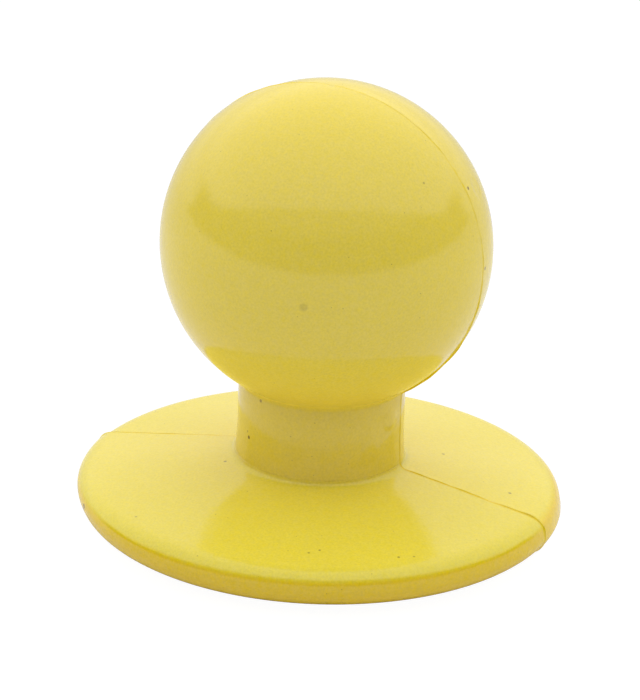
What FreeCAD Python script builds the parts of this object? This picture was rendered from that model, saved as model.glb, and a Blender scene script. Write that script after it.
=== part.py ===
"""Ball stud button for a double-breasted jacket, in millimetres.

One injection moulding: a ball head that pushes through the buttonhole, a short neck
that the cloth sits round, and a lens-shaped flange that stops behind the cloth.
+Z is the stud's axis, towards the ball. The origin is the centre of the flange's flat
underside. The two halves of the mould meet in the X-Z plane.
"""
import FreeCAD
import Part
import math
import os

import Sketcher

# alias, value, what it is
DIMENSIONS = [
    ("ball_radius", 6.17, "ball head"),
    ("ball_centre_height", 11.24, "ball centre above the underside"),
    ("neck_radius", 3.13, "neck under the ball"),
    ("neck_foot_radius", 3.21, "neck where its flare meets the flange"),
    ("neck_flare_length", 1.50, "height of the flare"),
    ("flange_radius", 9.00, "flange outside"),
    ("flange_slope", 9.65, "slope of the flange's top, in degrees"),
    ("edge_radius", 0.80, "rounding of the flange's edge"),
    ("edge_height", 1.25, "centre of that rounding above the underside"),
    ("foot_radius", 5.50, "flat middle of the underside"),
    ("head_fillet", 0.35, "fillet between ball and neck"),
    ("foot_fillet", 0.30, "fillet between neck and flange"),
    ("seam_height", 0.05, "ridge left where the mould halves meet"),
    ("seam_width", 0.12, "width of that ridge"),
]
EDGE_SEARCH = 0.02  # how near an edge lies to where it is looked for


def make_sheet(document):
    """Put the driving dimensions in a spreadsheet, one aliased cell each."""
    sheet = document.addObject("Spreadsheet::Sheet", "Dimensions")
    for row, (alias, value, meaning) in enumerate(DIMENSIONS, start=1):
        sheet.set(f"A{row}", meaning)
        sheet.set(f"B{row}", str(value))
        sheet.setAlias(f"B{row}", alias)
    document.recompute()
    return sheet


def origin_feature(body, role):
    """One of the body's own origin planes or axes, by its role."""
    for feature in body.Origin.OriginFeatures:
        if feature.Role == role:
            return feature
    raise ValueError(f"{body.Name} has no {role}")


def new_sketch(body, name, plane_role):
    sketch = body.newObject("Sketcher::SketchObject", name)
    sketch.AttachmentSupport = [(origin_feature(body, plane_role), "")]
    sketch.MapMode = "FlatFace"
    return sketch


class Outline:
    """The half outline worked out from the sheet, so that each sketch starts solved."""

    def __init__(self, sheet):
        for alias, _, _ in DIMENSIONS:
            setattr(self, alias, float(sheet.get(alias)))
        slope = math.radians(self.flange_slope)
        self.edge_centre_r = self.flange_radius - self.edge_radius
        reach = self.edge_centre_r - self.foot_radius
        rise = self.edge_height - self.edge_radius
        # belly arc: touches the flat foot and, from outside, the edge rounding
        self.belly_radius = (
            reach**2 + self.edge_height**2 - self.edge_radius**2
        ) / (2 * rise)
        self.belly_angle = math.atan2(self.edge_height - self.belly_radius, reach)
        self.slope_angle = math.pi / 2 - slope
        slope_start_r = self.edge_centre_r + self.edge_radius * math.cos(self.slope_angle)
        slope_start_z = self.edge_height + self.edge_radius * math.sin(self.slope_angle)
        slope_run = slope_start_r - self.neck_foot_radius
        self.neck_foot_height = slope_start_z + slope_run * math.tan(slope)
        flare_out = self.neck_foot_radius - self.neck_radius
        self.flare_radius = (self.neck_flare_length**2 + flare_out**2) / (2 * flare_out)
        self.flare_top = self.neck_foot_height + self.neck_flare_length
        self.neck_top = self.ball_centre_height - math.sqrt(
            self.ball_radius**2 - self.neck_radius**2
        )


def point(x, y):
    return FreeCAD.Vector(x, y, 0)


def arc(centre, radius, start_angle, end_angle):
    """An anticlockwise arc in the sketch plane."""
    circle = Part.Circle(centre, FreeCAD.Vector(0, 0, 1), radius)
    return Part.ArcOfCircle(circle, start_angle, end_angle)


# ends of sketch geometry: an anticlockwise arc or a line starts at 1, ends at 2
START, END, CENTRE = 1, 2, 3
SKETCH_ORIGIN = (-1, 1)
VERTICAL_AXIS = -2


def bind(sketch, name, constraint, expression):
    """Add a driving constraint whose value comes from the sheet."""
    index = sketch.addConstraint(constraint)
    sketch.renameConstraint(index, name)
    sketch.setExpression(f"Constraints.{name}", expression)


def draw_upper_outline(sketch, outline, edge_start_angle, grow, grow_words):
    """Flange edge, slope, flared neck and ball, all moved outwards by grow, down to the axis.

    Returns the edge rounding and the axis line, whose loose ends the caller closes.
    """
    o = outline
    edge_centre = point(o.edge_centre_r, o.edge_height)
    edge_radius = o.edge_radius + grow
    slope_start = point(
        edge_centre.x + edge_radius * math.cos(o.slope_angle),
        edge_centre.y + edge_radius * math.sin(o.slope_angle),
    )
    flare_centre = point(o.neck_radius + o.flare_radius, o.flare_top)
    flare_radius = o.flare_radius - grow
    flare_angle = math.asin(o.neck_flare_length / o.flare_radius)
    flare_foot = point(
        flare_centre.x - flare_radius * math.cos(flare_angle),
        flare_centre.y - flare_radius * math.sin(flare_angle),
    )
    neck_radius = o.neck_radius + grow
    ball_centre = point(0, o.ball_centre_height)
    ball_radius = o.ball_radius + grow
    neck_top_angle = -math.acos(neck_radius / ball_radius)
    neck_top = point(neck_radius, ball_centre.y + ball_radius * math.sin(neck_top_angle))
    ball_top = point(0, ball_centre.y + ball_radius)

    edge = sketch.addGeometry(arc(edge_centre, edge_radius, edge_start_angle, o.slope_angle))
    slope = sketch.addGeometry(Part.LineSegment(slope_start, flare_foot))
    flare = sketch.addGeometry(arc(flare_centre, flare_radius, math.pi, math.pi + flare_angle))
    neck = sketch.addGeometry(Part.LineSegment(point(neck_radius, o.flare_top), neck_top))
    ball = sketch.addGeometry(arc(ball_centre, ball_radius, neck_top_angle, math.pi / 2))
    axis = sketch.addGeometry(Part.LineSegment(ball_top, point(0, 0)))

    for constraint in [
        Sketcher.Constraint("Tangent", edge, END, slope, START),
        Sketcher.Constraint("Coincident", slope, END, flare, END),
        Sketcher.Constraint("Tangent", flare, START, neck, START),
        Sketcher.Constraint("Vertical", neck),
        Sketcher.Constraint("Coincident", neck, END, ball, START),
        Sketcher.Constraint("PointOnObject", ball, CENTRE, VERTICAL_AXIS),
        Sketcher.Constraint("Coincident", ball, END, axis, START),
        Sketcher.Constraint("Vertical", axis),
    ]:
        sketch.addConstraint(constraint)

    for name, constraint, expression in [
        (
            "edge_rounding",
            Sketcher.Constraint("Radius", edge, edge_radius),
            f"Dimensions.edge_radius{grow_words}",
        ),
        (
            "edge_centre_out",
            Sketcher.Constraint("DistanceX", *SKETCH_ORIGIN, edge, CENTRE, edge_centre.x),
            "Dimensions.flange_radius - Dimensions.edge_radius",
        ),
        (
            "edge_centre_up",
            Sketcher.Constraint("DistanceY", *SKETCH_ORIGIN, edge, CENTRE, edge_centre.y),
            "Dimensions.edge_height",
        ),
        (
            "slope_angle",
            Sketcher.Constraint("Angle", slope, math.radians(180 - o.flange_slope)),
            "180 - Dimensions.flange_slope",
        ),
        (
            "neck_foot_out",
            Sketcher.Constraint("DistanceX", *SKETCH_ORIGIN, slope, END, flare_foot.x),
            f"Dimensions.neck_foot_radius{grow_words}",
        ),
        (
            "flare_height",
            Sketcher.Constraint("DistanceY", flare, END, flare, START, o.neck_flare_length),
            "Dimensions.neck_flare_length",
        ),
        (
            "neck_out",
            Sketcher.Constraint("DistanceX", *SKETCH_ORIGIN, neck, START, neck_radius),
            f"Dimensions.neck_radius{grow_words}",
        ),
        (
            "ball_size",
            Sketcher.Constraint("Radius", ball, ball_radius),
            f"Dimensions.ball_radius{grow_words}",
        ),
        (
            "ball_up",
            Sketcher.Constraint("DistanceY", *SKETCH_ORIGIN, ball, CENTRE, ball_centre.y),
            "Dimensions.ball_centre_height",
        ),
    ]:
        bind(sketch, name, constraint, expression)
    return edge, axis


def draw_half_section(sketch, outline):
    """Half section of the stud: flat foot, belly arc, then the upper outline to the axis."""
    o = outline
    foot = sketch.addGeometry(Part.LineSegment(point(0, 0), point(o.foot_radius, 0)))
    belly = sketch.addGeometry(
        arc(point(o.foot_radius, o.belly_radius), o.belly_radius, -math.pi / 2, o.belly_angle)
    )
    edge, axis = draw_upper_outline(sketch, outline, o.belly_angle, 0, "")
    for constraint in [
        Sketcher.Constraint("Coincident", foot, START, *SKETCH_ORIGIN),
        Sketcher.Constraint("Horizontal", foot),
        Sketcher.Constraint("Tangent", foot, END, belly, START),
        Sketcher.Constraint("Tangent", belly, END, edge, START),
        Sketcher.Constraint("Coincident", axis, END, *SKETCH_ORIGIN),
    ]:
        sketch.addConstraint(constraint)
    bind(
        sketch, "foot_length",
        Sketcher.Constraint("DistanceX", foot, START, foot, END, o.foot_radius),
        "Dimensions.foot_radius",
    )


def draw_ridge(sketch, outline):
    """The upper outline grown by the ridge's height, closed level with the flange's edge."""
    o = outline
    edge_end = o.flange_radius + o.seam_height
    floor = sketch.addGeometry(
        Part.LineSegment(point(0, o.edge_height), point(edge_end, o.edge_height))
    )
    edge, axis = draw_upper_outline(
        sketch, outline, 0, o.seam_height, " + Dimensions.seam_height"
    )
    for constraint in [
        Sketcher.Constraint("Coincident", floor, START, axis, END),
        Sketcher.Constraint("Horizontal", floor),
        Sketcher.Constraint("Coincident", floor, END, edge, START),
        Sketcher.Constraint("Horizontal", edge, START, edge, CENTRE),
    ]:
        sketch.addConstraint(constraint)


def ring_edges(shape, radius, height):
    """Names of the circular edges round the axis at this radius and height."""
    names = []
    for number, edge in enumerate(shape.Edges, start=1):
        if edge.Degenerated or not isinstance(edge.Curve, Part.Circle):
            continue
        curve = edge.Curve
        on_axis = math.hypot(curve.Center.x, curve.Center.y) < EDGE_SEARCH
        right_size = abs(curve.Radius - radius) < EDGE_SEARCH
        right_height = abs(curve.Center.z - height) < EDGE_SEARCH
        if on_axis and right_size and right_height:
            names.append(f"Edge{number}")
    return names


def add_fillet(body, name, radius_alias, ring_radius, ring_height):
    base = body.Tip
    names = ring_edges(base.Shape, ring_radius, ring_height)
    if not names:
        raise ValueError(f"{name}: no edge at radius {ring_radius}, height {ring_height}")
    fillet = body.newObject("PartDesign::Fillet", name)
    fillet.Base = (base, names)
    fillet.setExpression("Radius", f"Dimensions.{radius_alias}")
    return fillet


def make_ball_stud(document, sheet):
    """The whole moulding: revolved section, two fillets and the ridge of the mould's parting."""
    outline = Outline(sheet)
    body = document.addObject("PartDesign::Body", "ball_stud")
    body.Label = "ball_stud"

    section = new_sketch(body, "half_section", "XZ_Plane")
    draw_half_section(section, outline)
    turned = body.newObject("PartDesign::Revolution", "turned_form")
    turned.Profile = section
    turned.ReferenceAxis = (section, ["V_Axis"])
    turned.Angle = 360
    document.recompute()

    add_fillet(body, "ball_to_neck", "head_fillet", outline.neck_radius, outline.neck_top)
    document.recompute()
    add_fillet(
        body, "neck_to_flange", "foot_fillet",
        outline.neck_foot_radius, outline.neck_foot_height,
    )
    document.recompute()

    ridge_outline = new_sketch(body, "ridge_outline", "XZ_Plane")
    draw_ridge(ridge_outline, outline)
    ridge = body.newObject("PartDesign::Pad", "parting_ridge")
    ridge.Profile = ridge_outline
    ridge.Midplane = True
    ridge.setExpression("Length", "Dimensions.seam_width")
    document.recompute()
    other_side = body.newObject("PartDesign::Mirrored", "parting_ridge_other_side")
    other_side.Originals = [ridge]
    other_side.MirrorPlane = (origin_feature(body, "YZ_Plane"), [""])
    body.Tip = other_side
    document.recompute()
    return body


def check(document, bodies):
    """Stop before anything is written if a feature failed or a solid is unsound."""
    for item in document.Objects:
        if "Invalid" in item.State or "Error" in item.State:
            raise RuntimeError(f"{item.Label} is {item.State}")
    for body in bodies:
        shape = body.Shape
        if shape.isNull() or not shape.isValid() or len(shape.Solids) != 1:
            raise RuntimeError(f"{body.Label} isn't one sound solid")
        size = shape.optimalBoundingBox(True, False)
        print(
            f"{body.Label}: {size.XLength:.2f} x {size.YLength:.2f} x {size.ZLength:.2f} mm, "
            f"{shape.Volume:.1f} mm3, {len(shape.Faces)} faces"
        )


document = FreeCAD.newDocument("ball_stud_button")
sheet = make_sheet(document)
bodies = [make_ball_stud(document, sheet)]
document.recompute()
check(document, bodies)
os.makedirs("parts", exist_ok=True)
for body in bodies:
    body.Shape.exportStep(f"parts/{body.Label}.step")
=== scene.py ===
"""Ball stud button for a jacket: one yellow plastic moulding, standing on a pale table.

Lengths are in metres unless a name or comment says otherwise; +Z is the stud's axis.
"""
import math

import bpy
import numpy as np
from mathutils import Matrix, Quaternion, Vector


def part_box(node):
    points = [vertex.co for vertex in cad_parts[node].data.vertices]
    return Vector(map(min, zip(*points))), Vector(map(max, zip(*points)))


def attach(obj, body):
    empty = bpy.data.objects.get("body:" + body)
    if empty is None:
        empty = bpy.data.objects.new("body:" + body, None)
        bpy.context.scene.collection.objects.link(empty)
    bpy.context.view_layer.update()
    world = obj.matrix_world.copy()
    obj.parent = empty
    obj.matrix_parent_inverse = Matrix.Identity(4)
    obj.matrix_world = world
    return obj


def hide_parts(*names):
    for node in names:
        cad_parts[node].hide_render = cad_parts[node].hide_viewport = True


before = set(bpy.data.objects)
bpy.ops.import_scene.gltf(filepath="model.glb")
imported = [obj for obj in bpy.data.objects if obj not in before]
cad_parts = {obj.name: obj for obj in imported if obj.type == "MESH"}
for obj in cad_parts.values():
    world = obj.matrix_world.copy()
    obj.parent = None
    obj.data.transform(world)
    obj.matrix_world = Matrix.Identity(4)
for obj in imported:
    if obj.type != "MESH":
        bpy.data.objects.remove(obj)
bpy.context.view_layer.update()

# ---------------------------------------------------------------------------
# The moulding's form
# One shot of plastic: ball head, short neck, lens-shaped flange. It is a turned form,
# made in a mould of two halves that meet in the X-Z plane.
# ---------------------------------------------------------------------------
MM = 0.001
node_low, node_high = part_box("ball_stud")
flange_radius = (node_high.y - node_low.y) / 2
ridge_height = node_high.x - flange_radius
ball_radius = 6.17 * MM
ball_centre = node_high.z - ridge_height - ball_radius
foot_radius = 5.5 * MM
belly_fullness = (0.7, 0.57)  # 0.55 and 0.55 would make the belly a quarter ellipse
edge_level = 1.25 * MM  # height at which the flange is widest
edge_top = (1.22 * MM, 0.75 * MM)  # half axes of the rounding above that level
edge_squareness = 2.5  # 2 makes that rounding an ellipse, more brings it nearer to a corner
slope = math.radians(9.65)
neck_radius = 3.13 * MM
neck_foot_radius = 3.21 * MM
flare_length = 1.5 * MM
flare_kept = 0.97  # share of the flare's arc that the fillet below it leaves
head_fillet = 0.35 * MM
foot_fillet = 0.30 * MM


def ellipse_arc(centre, half_axes, start, end, rows):
    """Points of an ellipse about centre, from one parameter angle to another."""
    angle = np.linspace(start, end, rows)
    return np.stack(
        [centre[0] + half_axes[0] * np.cos(angle), centre[1] + half_axes[1] * np.sin(angle)], 1
    )


def straight(start, end, rows):
    """Evenly spaced points from start to end."""
    share = np.linspace(0, 1, rows)[:, None]
    return np.array(start) * (1 - share) + np.array(end) * share


def squared_arc(centre, half_axes, squareness, end, rows):
    """Points of a superellipse about centre, from its widest side up to the angle end.

    A point is out by its half axis times the angle's cosine, and up by the other half axis
    times its sine, with cosine and sine raised to 2 / squareness.
    """
    angle = np.linspace(0, end, rows)
    power = 2 / squareness
    return np.stack(
        [centre[0] + half_axes[0] * np.cos(angle) ** power,
         centre[1] + half_axes[1] * np.sin(angle) ** power],
        1,
    )


def swelling_curve(start, end, fullness, rows):
    """Cubic curve that leaves start level and reaches end upright.

    Its two handles are fullness of the way to the corner right below end.
    """
    start, end = np.array(start), np.array(end)
    corner = np.array([end[0], start[1]])
    first = start + (corner - start) * fullness[0]
    last = end + (corner - end) * fullness[1]
    share = np.linspace(0, 1, rows)[:, None]
    rest = 1 - share
    return rest**3 * start + 3 * rest**2 * share * first + 3 * rest * share**2 * last + share**3 * end


def inside_corner(corner, way_in, way_out, radius, rows):
    """Arc that rounds a corner: it touches the lines that leave it along way_in and way_out."""
    a, b = np.array(way_in) / np.hypot(*way_in), np.array(way_out) / np.hypot(*way_out)
    half_angle = math.acos(np.clip(a @ b, -1, 1)) / 2
    middle = (a + b) / np.hypot(*(a + b))
    centre = np.array(corner) + middle * radius / math.sin(half_angle)
    first = np.array(corner) + a * radius / math.tan(half_angle) - centre
    last = np.array(corner) + b * radius / math.tan(half_angle) - centre
    turn = 2 * (math.pi / 2 - half_angle)
    share = np.linspace(0, 1, rows)[:, None]
    # equal steps of angle between the two radius vectors
    return centre + (np.sin((1 - share) * turn) * first + np.sin(share * turn) * last) / math.sin(turn)


def stud_outline():
    """Radius and height of the half outline, from the middle of the foot to the ball's top.

    A flat foot, a swelling belly, a squared rounding at the edge, a straight slope, a small
    fillet, a flared neck, another fillet, and the ball's circle. The last number of each
    stretch is how many rows of points it gets.
    """
    edge_middle = (flange_radius - edge_top[0], edge_level)
    # on a superellipse the slope's normal is met where across / up, each as a share of its
    # half axis, is this ratio
    ratio = (math.tan(slope) * edge_top[0] / edge_top[1]) ** (1 / (edge_squareness - 1))
    slope_angle = math.atan2(1, ratio ** (edge_squareness / 2))
    rounding = squared_arc(edge_middle, edge_top, edge_squareness, slope_angle, 40)
    slope_top = rounding[-1]
    foot_height = slope_top[1] + (slope_top[0] - neck_foot_radius) * math.tan(slope)
    flare_out = neck_foot_radius - neck_radius
    flare_radius = (flare_length**2 + flare_out**2) / (2 * flare_out)
    flare_turn = math.asin(flare_length / flare_radius)
    flare_middle = (neck_radius + flare_radius, foot_height + flare_length)

    foot_corner = inside_corner(
        (neck_foot_radius, foot_height),
        (math.cos(slope), -math.sin(slope)),
        (-math.sin(flare_turn), math.cos(flare_turn)),
        foot_fillet, 14,
    )
    # the fillet under the ball touches the neck's side and the ball from outside
    head_out = neck_radius + head_fillet
    head_down = math.sqrt((ball_radius + head_fillet) ** 2 - head_out**2)
    head_turn = math.atan2(head_down, head_out)
    head_middle = (head_out, ball_centre - head_down)

    return np.concatenate([
        straight((0, 0), (foot_radius, 0), 22)[:-1],
        swelling_curve((foot_radius, 0), (flange_radius, edge_level), belly_fullness, 40)[:-1],
        rounding[:-1],
        straight(slope_top, foot_corner[0], 34)[:-1],
        foot_corner[:-1],
        ellipse_arc(
            flare_middle, (flare_radius, flare_radius), math.pi + flare_turn * flare_kept, math.pi, 14
        )[:-1],
        straight((neck_radius, flare_middle[1]), (neck_radius, head_middle[1]), 12)[:-1],
        ellipse_arc(head_middle, (head_fillet, head_fillet), math.pi, math.pi - head_turn, 12)[:-1],
        ellipse_arc((0, ball_centre), (ball_radius, ball_radius), -head_turn, math.pi / 2, 124),
    ])


# ---------------------------------------------------------------------------
# The fin where the mould halves meet
# The halves of the mould don't quite line up: the rear one sits a fifth of a millimetre low
# and a tenth to the left. A thin fin of plastic stands along the join. It is chipped in places,
# and painted shade along it colours it a deeper yellow.
# ---------------------------------------------------------------------------
fin_height = 0.036 * MM
fin_unevenness = 0.45  # share of the height
fin_half_width = 0.05 * MM
fin_wander = 0.02 * MM
rear_half_shift = (-0.10 * MM, 0.0, -0.20 * MM)
foot_shift = (0.05 * MM, 0.02 * MM, 0.0)  # the flange's underside is a little off centre
foot_shift_top = edge_level + 0.2 * MM
foot_shift_fade = 0.5 * MM
half_blend = 0.012 * MM  # how sharply one half gives way to the other
seam_crowding = 0.9  # 0 spaces the columns evenly, 1 gathers them all at the seam
columns = 300

# The next three lists begin with a place along the outline in mm from the foot's middle, + on
# the +X side, and a half length in mm.
# where a length of fin has broken off, and the share of its height that is gone
chips = [
    (21.3, 0.35, 0.9),
    (29.8, 0.25, 0.8),
    (12.2, 0.35, 0.7),
    (-15.2, 0.4, 0.8),
    (-30.6, 0.5, 0.9),
]
# where the fin stands taller, and the extra height as a share
tall_stretches = [
    (12.8, 2.4, 0.9),
    (10.3, 0.9, 0.6),
    (-13.0, 4.0, 0.1),
    (22.0, 2.0, 0.5),
]
# where the painted shade along the fin is stronger than its usual strength, and by how much more
usual_painted_seam_shade = 0.45
painted_seam_shade_unevenness = 0.4
painted_seam_shade_stretches = [
    (13.0, 3.2, 0.6),
    (-13.0, 3.5, 0.1),
    (9.6, 0.45, 1.0),
    (10.4, 1.0, 0.7),
    (20.9, 1.6, 1.0),
    (28.8, 0.15, 0.8),
    (-32.0, 0.25, 1.0),
    (-32.9, 0.35, 0.7),
    (15.6, 0.25, 0.8),
    (24.5, 1.5, 0.4),
]


def unevenness(place, seed, wavelengths):
    """Smooth random wave from -1 to 1 along a place in metres: a sum of sines."""
    rng = np.random.default_rng(seed)
    total = sum(
        np.sin(2 * math.pi * place / wavelength + rng.uniform(0, 2 * math.pi))
        for wavelength in wavelengths
    )
    return total / len(wavelengths)


def bell(place, middle_mm, half_length_mm):
    """Bell curve along the outline: e to minus the square of distance over half length."""
    return np.exp(-(((place - middle_mm * MM) / (half_length_mm * MM)) ** 2))


def moulding_points():
    """Grid of points, one row per outline point and one column per turn about the axis.

    Each point of the turned form is pushed along its normal by the fin's height, which
    falls off as a bell curve with distance from the parting plane. Points behind the plane
    are then moved by the rear half's shift. Both fade to nothing at the flat foot. Points
    below the flange's edge are moved by the foot's shift. Also gives each point's distance
    from the seam, + behind it, and how strongly painted shade darkens the seam there.
    """
    profile = stud_outline()
    step = np.gradient(profile, axis=0)
    step /= np.hypot(step[:, 0], step[:, 1])[:, None]
    normal_out, normal_up = step[:, 1][:, None], -step[:, 0][:, None]
    along = np.concatenate([[0], np.cumsum(np.hypot(*np.diff(profile, axis=0).T))])[:, None]

    even = np.linspace(0, 2 * math.pi, columns, endpoint=False)[None, :]
    turn = even - seam_crowding * np.sin(2 * even) / 2
    radius, height = profile[:, 0][:, None], profile[:, 1][:, None]
    x, y = radius * np.cos(turn), radius * np.sin(turn)

    place = along * np.sign(np.cos(turn) + 1e-9)
    from_seam = y - fin_wander * unevenness(place, 3, (0.011, 0.0047, 0.0021))
    rise = fin_height * (1 + fin_unevenness * unevenness(place, 5, (0.007, 0.0023, 0.0009)))
    for middle, half_length, extra in tall_stretches:
        rise = rise * (1 + extra * bell(place, middle, half_length))
    for middle, half_length, depth in chips:
        rise = rise * (1 - depth * bell(place, middle, half_length))
    # painted shade along the seam: how strongly it darkens the seam, place by place
    painted_seam_shade = usual_painted_seam_shade + painted_seam_shade_unevenness * unevenness(place, 8, (0.0061, 0.0017, 0.0005))
    for middle, half_length, strength in painted_seam_shade_stretches:
        painted_seam_shade = painted_seam_shade + strength * bell(place, middle, half_length)
    off_foot = np.clip(height / edge_level, 0, 1)
    fin = rise * off_foot * np.exp(-((from_seam / fin_half_width) ** 2))
    behind = off_foot * (1 + np.tanh(from_seam / half_blend / 2)) / 2
    below = np.clip((foot_shift_top - height) / foot_shift_fade, 0, 1)
    below = below**2 * (3 - 2 * below)  # eased at both ends
    points = np.stack(
        [
            x + fin * normal_out * np.cos(turn) + rear_half_shift[0] * behind + foot_shift[0] * below,
            y + fin * normal_out * np.sin(turn) + rear_half_shift[1] * behind + foot_shift[1] * below,
            height + fin * normal_up + rear_half_shift[2] * behind,
        ],
        -1,
    )
    return points, from_seam, np.clip(painted_seam_shade, 0, 1)


def closed_surface(name, points):
    """Mesh of a grid that closes on itself sideways and ends in one point at each end."""
    rows, across = points.shape[:2]
    inner = points[1:-1].reshape(-1, 3)
    vertices = np.concatenate([points[:1, 0], inner, points[-1:, 0]])
    last = len(vertices) - 1
    row, column = np.meshgrid(np.arange(rows - 3), np.arange(across), indexing="ij")
    beside = (column + 1) % across
    corner = 1 + row * across
    quads = np.stack(
        [corner + column, corner + beside, corner + across + beside, corner + across + column], -1
    ).reshape(-1, 4)
    column = np.arange(across)
    beside = (column + 1) % across
    bottom = np.stack([0 * column, 1 + beside, 1 + column], -1)
    top_row = 1 + (rows - 3) * across
    top = np.stack([0 * column + last, top_row + column, top_row + beside], -1)
    mesh = bpy.data.meshes.new(name)
    mesh.from_pydata(vertices.tolist(), [], quads.tolist() + bottom.tolist() + top.tolist())
    mesh.shade_smooth()
    mesh.validate()
    return mesh


def add_point_values(mesh, name, grid):
    """Store a value per grid point on the mesh, in the order closed_surface puts them."""
    values = np.concatenate([grid[:1, 0], grid[1:-1].ravel(), grid[-1:, 0]])
    attribute = mesh.attributes.new(name, "FLOAT", "POINT")
    attribute.data.foreach_set("value", values.astype(np.float32))


points, from_seam, painted_seam_shade = moulding_points()
stud_mesh = closed_surface("stud_moulding", points)
add_point_values(stud_mesh, "from_seam_mm", from_seam / MM)
# how strongly painted shade darkens the seam, stored per point
add_point_values(stud_mesh, "seam_painted_shade", painted_seam_shade)
stud = bpy.data.objects.new("stud_moulding", stud_mesh)
bpy.context.scene.collection.objects.link(stud)
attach(stud, "root")
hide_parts("ball_stud")

# ---------------------------------------------------------------------------
# The plastic
# Opaque yellow, coloured right through. The ball is glossy, the neck a little more so, and
# the flange has the fine orange-peel skin of a blasted mould. Its colour also carries painted
# light and shade: a lighter flange, deeper yellow under the flange and at the neck's foot,
# and darker lines along the seam and the flange's edge.
# ---------------------------------------------------------------------------


def new_group(name, inputs, outputs):
    """Empty shader node group: inputs are (name, kind, value), outputs are (name, kind)."""
    group = bpy.data.node_groups.new(name, "ShaderNodeTree")
    for socket_name, kind, value in inputs:
        socket = group.interface.new_socket(socket_name, in_out="INPUT", socket_type=kind)
        socket.default_value = value
    for socket_name, kind in outputs:
        group.interface.new_socket(socket_name, in_out="OUTPUT", socket_type=kind)
    return group, group.nodes.new("NodeGroupInput"), group.nodes.new("NodeGroupOutput")


def add_node(tree, kind, values=None, **settings):
    """Add a node, set its properties, and link or set each of its inputs."""
    node = tree.nodes.new(kind)
    for key, value in settings.items():
        setattr(node, key, value)
    for key, value in (values or {}).items():
        if isinstance(value, bpy.types.NodeSocket):
            tree.links.new(value, node.inputs[key])
        else:
            node.inputs[key].default_value = value
    return node


def math_node(tree, operation, first, second=0.0, third=0.0):
    """Result of one sum; MULTIPLY_ADD is first times second plus third."""
    return add_node(
        tree, "ShaderNodeMath", {0: first, 1: second, 2: third}, operation=operation
    ).outputs[0]


def place_group(tree, group, values):
    """Put a node group in a material, with its own values."""
    return add_node(tree, "ShaderNodeGroup", values, node_tree=group)


def mix_colours(tree, share, first, second):
    """Colour that is first where share is 0 and second where it is 1."""
    return add_node(
        tree, "ShaderNodeMix", {"Factor": share, 6: first, 7: second}, data_type="RGBA"
    ).outputs[2]


def fade(tree, value, low, high, from_value=0.0, to_value=1.0):
    """Smooth ramp of value, from from_value at low to to_value at high."""
    return add_node(
        tree, "ShaderNodeMapRange",
        {"Value": value, "From Min": low, "From Max": high, "To Min": from_value, "To Max": to_value},
        interpolation_type="SMOOTHSTEP",
    ).outputs["Result"]


def orange_peel_group():
    """Fine skin of a blasted mould: two sizes of noise added up as a height."""
    group, given, result = new_group(
        "orange_peel",
        [("Vector", "NodeSocketVector", (0, 0, 0)), ("Grain", "NodeSocketFloat", 5.0),
         ("Coarse Share", "NodeSocketFloat", 0.4)],
        [("Height", "NodeSocketFloat")],
    )
    fine = add_node(
        group, "ShaderNodeTexNoise",
        {"Vector": given.outputs["Vector"], "Scale": given.outputs["Grain"], "Detail": 2.0},
    )
    coarse_scale = math_node(group, "MULTIPLY", given.outputs["Grain"], 0.23)
    coarse = add_node(
        group, "ShaderNodeTexNoise",
        {"Vector": given.outputs["Vector"], "Scale": coarse_scale, "Detail": 1.0},
    )
    height = math_node(
        group, "MULTIPLY_ADD", coarse.outputs["Fac"], given.outputs["Coarse Share"],
        fine.outputs["Fac"],
    )
    group.links.new(height, result.inputs["Height"])
    return group


def specks_group():
    """Burnt grains in the plastic: small round spots in a few cells of a Voronoi pattern."""
    group, given, result = new_group(
        "specks",
        [("Vector", "NodeSocketVector", (0, 0, 0)), ("Scale", "NodeSocketFloat", 0.5),
         ("Size", "NodeSocketFloat", 0.05), ("Share", "NodeSocketFloat", 0.1)],
        [("Mask", "NodeSocketFloat")],
    )
    cells = add_node(
        group, "ShaderNodeTexVoronoi",
        {"Vector": given.outputs["Vector"], "Scale": given.outputs["Scale"]},
    )
    chance = add_node(group, "ShaderNodeSeparateColor", {"Color": cells.outputs["Color"]})
    chosen = math_node(group, "LESS_THAN", chance.outputs[0], given.outputs["Share"])
    reach = math_node(group, "MULTIPLY", given.outputs["Size"], 2.0)
    spot = fade(group, cells.outputs["Distance"], given.outputs["Size"], reach, 1.0, 0.0)
    mask = math_node(group, "MULTIPLY", spot, chosen)
    group.links.new(mask, result.inputs["Mask"])
    return group


def mark_group():
    """One mark on the skin: full inside its radius about a centre and gone at twice that."""
    group, given, result = new_group(
        "mark",
        [("Vector", "NodeSocketVector", (0, 0, 0)), ("Centre", "NodeSocketVector", (0, 0, 0)),
         ("Radius", "NodeSocketFloat", 0.1), ("Strength", "NodeSocketFloat", 1.0)],
        [("Mask", "NodeSocketFloat")],
    )
    distance = add_node(
        group, "ShaderNodeVectorMath",
        {0: given.outputs["Vector"], 1: given.outputs["Centre"]}, operation="DISTANCE",
    ).outputs["Value"]
    reach = math_node(group, "MULTIPLY", given.outputs["Radius"], 2.0)
    round_spot = fade(group, distance, given.outputs["Radius"], reach, 1.0, 0.0)
    mask = math_node(group, "MULTIPLY", round_spot, given.outputs["Strength"])
    group.links.new(mask, result.inputs["Mask"])
    return group


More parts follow.
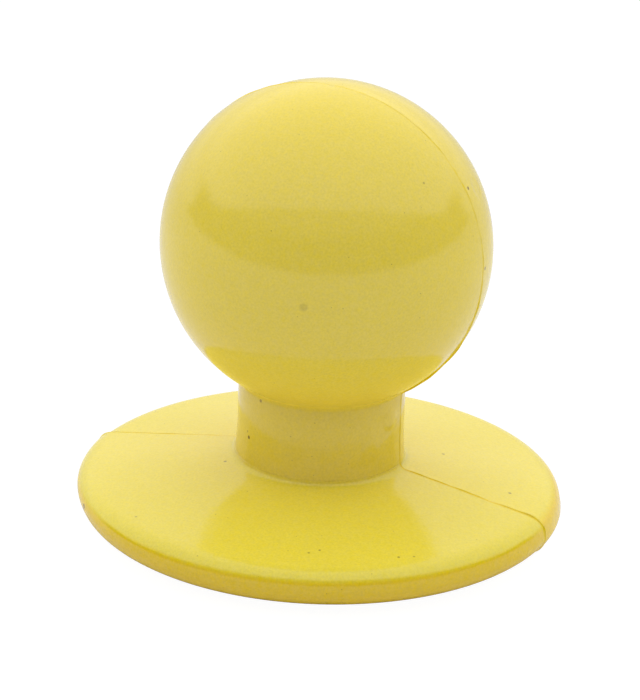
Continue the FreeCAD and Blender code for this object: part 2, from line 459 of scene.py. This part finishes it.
def flow_group():
    """Faint streaks left as the plastic flowed: stretched noise about zero."""
    group, given, result = new_group(
        "flow_streaks",
        [("Vector", "NodeSocketVector", (0, 0, 0)), ("Scale", "NodeSocketFloat", 0.25)],
        [("Value", "NodeSocketFloat")],
    )
    stretched = add_node(
        group, "ShaderNodeMapping", {"Vector": given.outputs["Vector"], "Scale": (1.0, 1.0, 2.2)}
    )
    noise = add_node(
        group, "ShaderNodeTexNoise",
        {"Vector": stretched.outputs["Vector"], "Scale": given.outputs["Scale"], "Detail": 3.0,
         "Distortion": 0.6},
    )
    centred = math_node(group, "SUBTRACT", noise.outputs["Fac"], 0.5)
    group.links.new(centred, result.inputs["Value"])
    return group


YELLOW = (0.922, 0.735, 0.097, 1)
# painted light: the flange gets a lighter yellow than the ball, standing in for the stronger light on
# its up-facing top
FLANGE_PAINTED_LIGHT_YELLOW = (0.91, 0.765, 0.078, 1)
# painted shade and yellow bounce light: the deeper yellow given to the flange's underside and the
# neck's foot
PAINTED_BOUNCE_YELLOW = (0.93, 0.665, 0.033, 1)
# deeper yellow of the painted shade along the seam and the flange's edge, and of random pigment
# streaks
DEEP_YELLOW = (0.91, 0.68, 0.0, 1)
BURNT = (0.22, 0.13, 0.03, 1)

# heights in mm at which the skin starts and stops changing
# below these heights the flange's underside carries painted shade and yellow bounce light
belly_to_slope = (1.5, 1.64)
# painted shade: a darker band along the flange's edge rounding, standing in for its dark reflection
# there
edge_painted_shade_begins = (1.50, 1.58)
edge_painted_shade_ends = (1.61, 1.69)
flange_to_neck = (2.8, 3.1)
neck_polish_begins = (2.7, 3.3)
neck_polish_ends = (5.3, 6.2)
# painted reflection of the yellow flange on the foot of the neck
neck_painted_reflection_begins = (2.8, 3.0)
neck_painted_reflection_ends = (3.3, 5.0)

# strength of the painted reflection of the flange on the neck's foot
neck_painted_reflection_strength = 0.2
# strength of the painted shade along the flange's edge
edge_painted_shade_strength = 0.5
seam_core = 0.07  # mm from the seam over which its painted shade is full
seam_reach = 0.10  # mm at which a faint painted shade ends
seam_reach_gain = 0.08  # mm more for a full one
mottle_strength = 0.24
streak_strength = 0.05
pigment_strength = 0.14
tint_strength = 0.10
speck_strength = 0.5
gloss = 0.125  # roughness of the ball and flange
neck_polish = -0.04
streak_roughness = 0.06
seam_roughness = 0.15
skin_unit = 0.01 * MM  # height that a 1 stands for in peel, ripple and dents
skin_strength = 0.35

# burnt grains and knocks: turn about the axis in degrees from +X, place along the outline in mm
# from the foot's middle, radius in mm, strength
marks = [
    (-126, 17.2, 0.045, 1.0),
    (-128, 17.4, 0.03, 0.5),
    (6, 28.7, 0.045, 0.9),
    (4, 25.6, 0.045, 0.9),
    (-23, 29.6, 0.03, 0.5),
    (-114, 18.9, 0.04, 0.7),
    (-141, 15.3, 0.04, 0.6),
    (36, 14.2, 0.04, 0.6),
    (12, 11.7, 0.04, 0.7),
    (-142, 9.6, 0.07, 0.9),
    (-75, 25.4, 0.10, 0.22),
    (-70, 11.4, 0.03, 0.6),
    (-67, 11.6, 0.03, 0.6),
    (-46, 10.9, 0.035, 0.6),
    (-42, 10.8, 0.03, 0.5),
    (-123, 10.8, 0.03, 0.5),
    (1, 9.5, 0.12, 0.35),
    (0.5, 9.9, 0.09, 0.25),
    (100, 13.1, 0.04, 0.6),
    (140, 26.2, 0.04, 0.6),
    (75, 22.0, 0.035, 0.6),
]
# shallow dents, and bulges below 0, that bend the reflections: turn, place, radius, depth
dents = [
    (-22, 18.0, 0.3, 6.0),
    (-14, 18.2, 0.25, -6.0),
    (-32, 17.2, 0.25, -4.0),
    (14, 28.4, 0.25, 6.0),
]


def place_on_skin(turn_degrees, along_mm):
    """Point in mm on the turned form: its outline is walked along_mm, then turned."""
    outline = stud_outline() / MM
    walked = np.concatenate([[0], np.cumsum(np.hypot(*np.diff(outline, axis=0).T))])
    radius = np.interp(along_mm, walked, outline[:, 0])
    height = np.interp(along_mm, walked, outline[:, 1])
    turn = math.radians(turn_degrees)
    spot = Vector((radius * math.cos(turn), radius * math.sin(turn), height))
    if spot.y > 0:
        spot += Vector(rear_half_shift) / MM
    return spot


def yellow_plastic():
    """The moulding's plastic: colour with painted light and shade, then dirt, then gloss, then the
    skin's small bumps.
    """
    material = bpy.data.materials.new("yellow_plastic")
    material.use_nodes = True
    tree = material.node_tree
    tree.nodes.clear()
    position = add_node(tree, "ShaderNodeTexCoord").outputs["Object"]
    in_mm = add_node(
        tree, "ShaderNodeVectorMath", {0: position, "Scale": 1000.0}, operation="SCALE"
    ).outputs["Vector"]
    height = add_node(tree, "ShaderNodeSeparateXYZ", {0: in_mm}).outputs["Z"]
    on_flange = fade(tree, height, *flange_to_neck, 1.0, 0.0)

    seam_distance = add_node(
        tree, "ShaderNodeAttribute", attribute_name="from_seam_mm"
    ).outputs["Fac"]
    # painted shade along the seam: the plastic is coloured a deeper yellow near it
    painted_seam_shade = add_node(tree, "ShaderNodeAttribute", attribute_name="seam_painted_shade").outputs["Fac"]
    reach = math_node(tree, "MULTIPLY_ADD", painted_seam_shade, seam_reach_gain, seam_reach)
    near_seam = fade(tree, math_node(tree, "ABSOLUTE", seam_distance), seam_core, reach, 1.0, 0.0)
    # painted shade along the seam; the flange edge's painted shade and pigment streaks join it below
    pigment_and_painted_shade = math_node(tree, "MULTIPLY", near_seam, painted_seam_shade)

    flow = place_group(tree, flow_group(), {"Vector": in_mm, "Scale": 0.22}).outputs["Value"]
    lightness = math_node(tree, "MULTIPLY_ADD", flow, streak_strength, 1.0)
    mottle = add_node(
        tree, "ShaderNodeTexNoise", {"Vector": in_mm, "Scale": 13.0, "Detail": 1.0}
    ).outputs["Fac"]
    mottle = math_node(tree, "SUBTRACT", mottle, 0.5)
    lightness = math_node(tree, "MULTIPLY_ADD", mottle, mottle_strength, lightness)
    pigment = add_node(
        tree, "ShaderNodeTexNoise", {"Vector": in_mm, "Scale": 4.0, "Detail": 2.0}
    ).outputs["Fac"]
    pigment_and_painted_shade = math_node(
        tree, "MAXIMUM", pigment_and_painted_shade, fade(tree, pigment, 0.45, 0.8, 0.0, pigment_strength)
    )
    # painted shade and yellow bounce light on the flange's underside
    belly_painted_shade = fade(tree, height, *belly_to_slope, 1.0, 0.0)
    # painted shade: a darker band along the flange's edge rounding, standing in for its dark
    # reflection there
    edge_painted_shade = math_node(
        tree, "MULTIPLY", fade(tree, height, *edge_painted_shade_begins),
        fade(tree, height, *edge_painted_shade_ends, edge_painted_shade_strength, 0.0),
    )
    pigment_and_painted_shade = math_node(tree, "MAXIMUM", pigment_and_painted_shade, edge_painted_shade)
    # painted reflection of the yellow flange on the foot of the neck
    neck_painted_reflection = math_node(
        tree, "MULTIPLY", fade(tree, height, *neck_painted_reflection_begins),
        fade(tree, height, *neck_painted_reflection_ends, neck_painted_reflection_strength, 0.0),
    )
    # deeper yellow of painted shade and bounce light under the flange and at the neck's foot
    painted_bounce = math_node(tree, "MAXIMUM", belly_painted_shade, neck_painted_reflection)
    # painted light: a lighter yellow on the flange than on the ball
    body = mix_colours(tree, on_flange, YELLOW, FLANGE_PAINTED_LIGHT_YELLOW)
    body = mix_colours(tree, painted_bounce, body, PAINTED_BOUNCE_YELLOW)
    # deeper yellow: painted shade along the seam and the flange's edge, and random pigment streaks
    body = mix_colours(tree, pigment_and_painted_shade, body, DEEP_YELLOW)
    tint = add_node(
        tree, "ShaderNodeTexNoise", {"Vector": in_mm, "Scale": 6.0, "Detail": 2.0}
    ).outputs["Fac"]
    tint = math_node(tree, "SUBTRACT", tint, 0.5)
    saturation = math_node(tree, "MULTIPLY_ADD", tint, tint_strength, 1.0)
    body = add_node(
        tree, "ShaderNodeHueSaturation",
        {"Color": body, "Saturation": saturation, "Value": lightness},
    ).outputs["Color"]

    dirt = place_group(
        tree, specks_group(), {"Vector": in_mm, "Scale": 2.4, "Size": 0.035, "Share": 0.4}
    ).outputs["Mask"]
    dirt = math_node(tree, "MULTIPLY", dirt, speck_strength)
    mark = mark_group()
    for turn, along, radius, strength in marks:
        spot = place_group(
            tree, mark,
            {"Vector": in_mm, "Centre": place_on_skin(turn, along), "Radius": radius,
             "Strength": strength},
        ).outputs["Mask"]
        dirt = math_node(tree, "MAXIMUM", dirt, spot)
    colour = mix_colours(tree, dirt, body, BURNT)

    on_neck = math_node(
        tree, "MULTIPLY", fade(tree, height, *neck_polish_begins),
        fade(tree, height, *neck_polish_ends, 1.0, 0.0),
    )
    roughness = math_node(tree, "MULTIPLY_ADD", on_neck, neck_polish, gloss)
    roughness = math_node(tree, "MULTIPLY_ADD", flow, streak_roughness, roughness)
    roughness = math_node(tree, "MULTIPLY_ADD", near_seam, seam_roughness, roughness)

    peel = place_group(
        tree, orange_peel_group(), {"Vector": in_mm, "Grain": 5.0, "Coarse Share": 0.6}
    ).outputs["Height"]
    peel_depth = math_node(tree, "ADD", on_flange, 0.25)
    skin = math_node(tree, "MULTIPLY", peel, peel_depth)
    ripple = add_node(
        tree, "ShaderNodeTexNoise", {"Vector": in_mm, "Scale": 1.1, "Detail": 1.5}
    ).outputs["Fac"]
    ripple_depth = math_node(tree, "MULTIPLY_ADD", on_neck, 2.4, 0.3)
    ripple = math_node(tree, "MULTIPLY", ripple, ripple_depth)
    skin = math_node(tree, "ADD", skin, ripple)
    for turn, along, radius, depth in dents:
        dent = place_group(
            tree, mark,
            {"Vector": in_mm, "Centre": place_on_skin(turn, along), "Radius": radius,
             "Strength": depth},
        ).outputs["Mask"]
        skin = math_node(tree, "SUBTRACT", skin, dent)
    bump = add_node(
        tree, "ShaderNodeBump",
        {"Height": skin, "Strength": skin_strength, "Distance": skin_unit},
    )

    shader = add_node(
        tree, "ShaderNodeBsdfPrincipled",
        {"Base Color": colour, "Roughness": roughness, "Normal": bump.outputs["Normal"],
         "IOR": 1.46},
    )
    add_node(tree, "ShaderNodeOutputMaterial", {"Surface": shader.outputs["BSDF"]})
    return material


stud.data.materials.append(yellow_plastic())

# ---------------------------------------------------------------------------
# Table, light and camera
# A white table inside a tent of white cloth lit from outside. The tent is open on the
# viewer's side, so only the room's dim ceiling lights the stud from there.
# ---------------------------------------------------------------------------
view_azimuth = math.radians(22.5)
view_elevation = math.radians(22.9)
view_roll = math.radians(1.84)
view_distance = 0.332
lens_length = 464.4  # mm, a long lens
sensor_size = 36.0  # mm
towards_viewer = Vector((math.sin(view_azimuth), -math.cos(view_azimuth), 0))
across_view = Vector((math.cos(view_azimuth), math.sin(view_azimuth), 0))

table_half = 1.5  # half the table's width
table_mesh = bpy.data.meshes.new("table")
table_mesh.from_pydata(
    [(-table_half, -table_half, 0), (table_half, -table_half, 0),
     (table_half, table_half, 0), (-table_half, table_half, 0)],
    [], [(0, 1, 2, 3)],
)
table = bpy.data.objects.new("table", table_mesh)
bpy.context.scene.collection.objects.link(table)

near_white = (0.88, 0.88, 0.88, 1)
# painted shade: the table is made dimmer far behind the stud
far_painted_shade_white = (0.68, 0.68, 0.68, 1)
far_begins = -0.015  # metres towards the viewer, so behind the stud
far_ends = -0.05
seen_white = 1.1  # radiance that the table is lifted towards where the camera sees it
seen_lift = 0.88


def white_paper():
    """Matt white, with painted shade that makes it dimmer far behind the stud. Seen from the camera it
    is lifted to white.
    """
    material = bpy.data.materials.new("white_paper")
    material.use_nodes = True
    tree = material.node_tree
    tree.nodes.clear()
    position = add_node(tree, "ShaderNodeTexCoord").outputs["Object"]
    forward = add_node(
        tree, "ShaderNodeVectorMath", {0: position, 1: towards_viewer}, operation="DOT_PRODUCT"
    ).outputs["Value"]
    far = fade(tree, forward, far_ends, far_begins, 1.0, 0.0)
    shade = mix_colours(tree, far, near_white, far_painted_shade_white)
    matt = add_node(tree, "ShaderNodeBsdfDiffuse", {"Color": shade})
    white = add_node(tree, "ShaderNodeEmission", {"Color": (1, 1, 1, 1), "Strength": seen_white})
    seen = add_node(tree, "ShaderNodeLightPath").outputs["Is Camera Ray"]
    lift = math_node(tree, "MULTIPLY", seen, seen_lift)
    both = add_node(
        tree, "ShaderNodeMixShader", {0: lift, 1: matt.outputs[0], 2: white.outputs[0]}
    )
    add_node(tree, "ShaderNodeOutputMaterial", {"Surface": both.outputs[0]})
    return material


table_mesh.materials.append(white_paper())

# shares of a direction, towards the viewer or upwards, at which the tent's parts meet
mouth_slope = 1.78  # how fast the mouth's edge comes forward with height
mouth_reach = -0.51  # share towards the viewer at which the mouth's edge meets the horizon
mouth_softness = 0.045
side_wall_top = (0.20, 0.32)
back_wall_ends = (-0.50, -0.34)
ceiling_begins = (0.34, 0.48)

tent_radiance = 1.26
back_wall_radiance = 0.9
ceiling_radiance = 0.29


def light_tent():
    """World whose strength depends on the direction looked in.

    The tent's mouth is a round opening on the viewer's side: it begins where a direction's
    share towards the viewer passes mouth_reach plus mouth_slope times its share upwards.
    Elsewhere the tent is bright above the side walls, and down to the table at the back.
    """
    world = bpy.data.worlds.new("light_tent")
    world.use_nodes = True
    tree = world.node_tree
    tree.nodes.clear()
    direction = add_node(tree, "ShaderNodeTexCoord").outputs["Generated"]
    up = add_node(tree, "ShaderNodeSeparateXYZ", {0: direction}).outputs["Z"]
    forward = add_node(
        tree, "ShaderNodeVectorMath", {0: direction, 1: towards_viewer}, operation="DOT_PRODUCT"
    ).outputs["Value"]
    past_edge = math_node(tree, "MULTIPLY_ADD", up, -mouth_slope, forward)
    inside = fade(
        tree, past_edge, mouth_reach - mouth_softness, mouth_reach + mouth_softness, 1.0, 0.0
    )
    above_sides = fade(tree, up, *side_wall_top)
    at_back = fade(tree, forward, *back_wall_ends, back_wall_radiance, 0.0)
    ceiling = fade(tree, up, *ceiling_begins, 0.0, ceiling_radiance)
    walls = add_node(
        tree, "ShaderNodeMix", {"Factor": above_sides, "A": at_back, "B": tent_radiance}
    ).outputs["Result"]
    lit = add_node(
        tree, "ShaderNodeMix", {"Factor": inside, "A": ceiling, "B": walls}
    ).outputs["Result"]
    seen = add_node(tree, "ShaderNodeLightPath").outputs["Is Camera Ray"]
    strength = add_node(
        tree, "ShaderNodeMix", {"Factor": seen, "A": lit, "B": 1.0}
    ).outputs["Result"]
    surround = add_node(tree, "ShaderNodeBackground", {"Color": (1, 1, 1, 1), "Strength": strength})
    add_node(tree, "ShaderNodeOutputWorld", {"Surface": surround.outputs["Background"]})
    return world


bpy.context.scene.world = light_tent()

camera_data = bpy.data.cameras.new("camera")
camera_data.sensor_width = sensor_size
camera_data.lens = lens_length
camera_data.clip_start, camera_data.clip_end = 0.01, 10
camera = bpy.data.objects.new("camera", camera_data)
bpy.context.scene.collection.objects.link(camera)
back = towards_viewer * math.cos(view_elevation) + Vector((0, 0, math.sin(view_elevation)))
upright = back.cross(across_view)
looked_at = Vector((0, 0, 8.25 * MM))
camera.location = looked_at + back * view_distance
picture_right = across_view * math.cos(view_roll) + upright * math.sin(view_roll)
picture_up = upright * math.cos(view_roll) - across_view * math.sin(view_roll)
# the stud stands a little above and right of the picture's middle
aim = looked_at - picture_right * 0.20 * MM - picture_up * 1.24 * MM
camera.rotation_mode = "QUATERNION"
camera.rotation_quaternion = (camera.location - aim).to_track_quat("Z", "Y") @ Quaternion(
    (0, 0, 1), view_roll
)
bpy.context.scene.camera = camera
bpy.context.scene.view_settings.view_transform = "Standard"
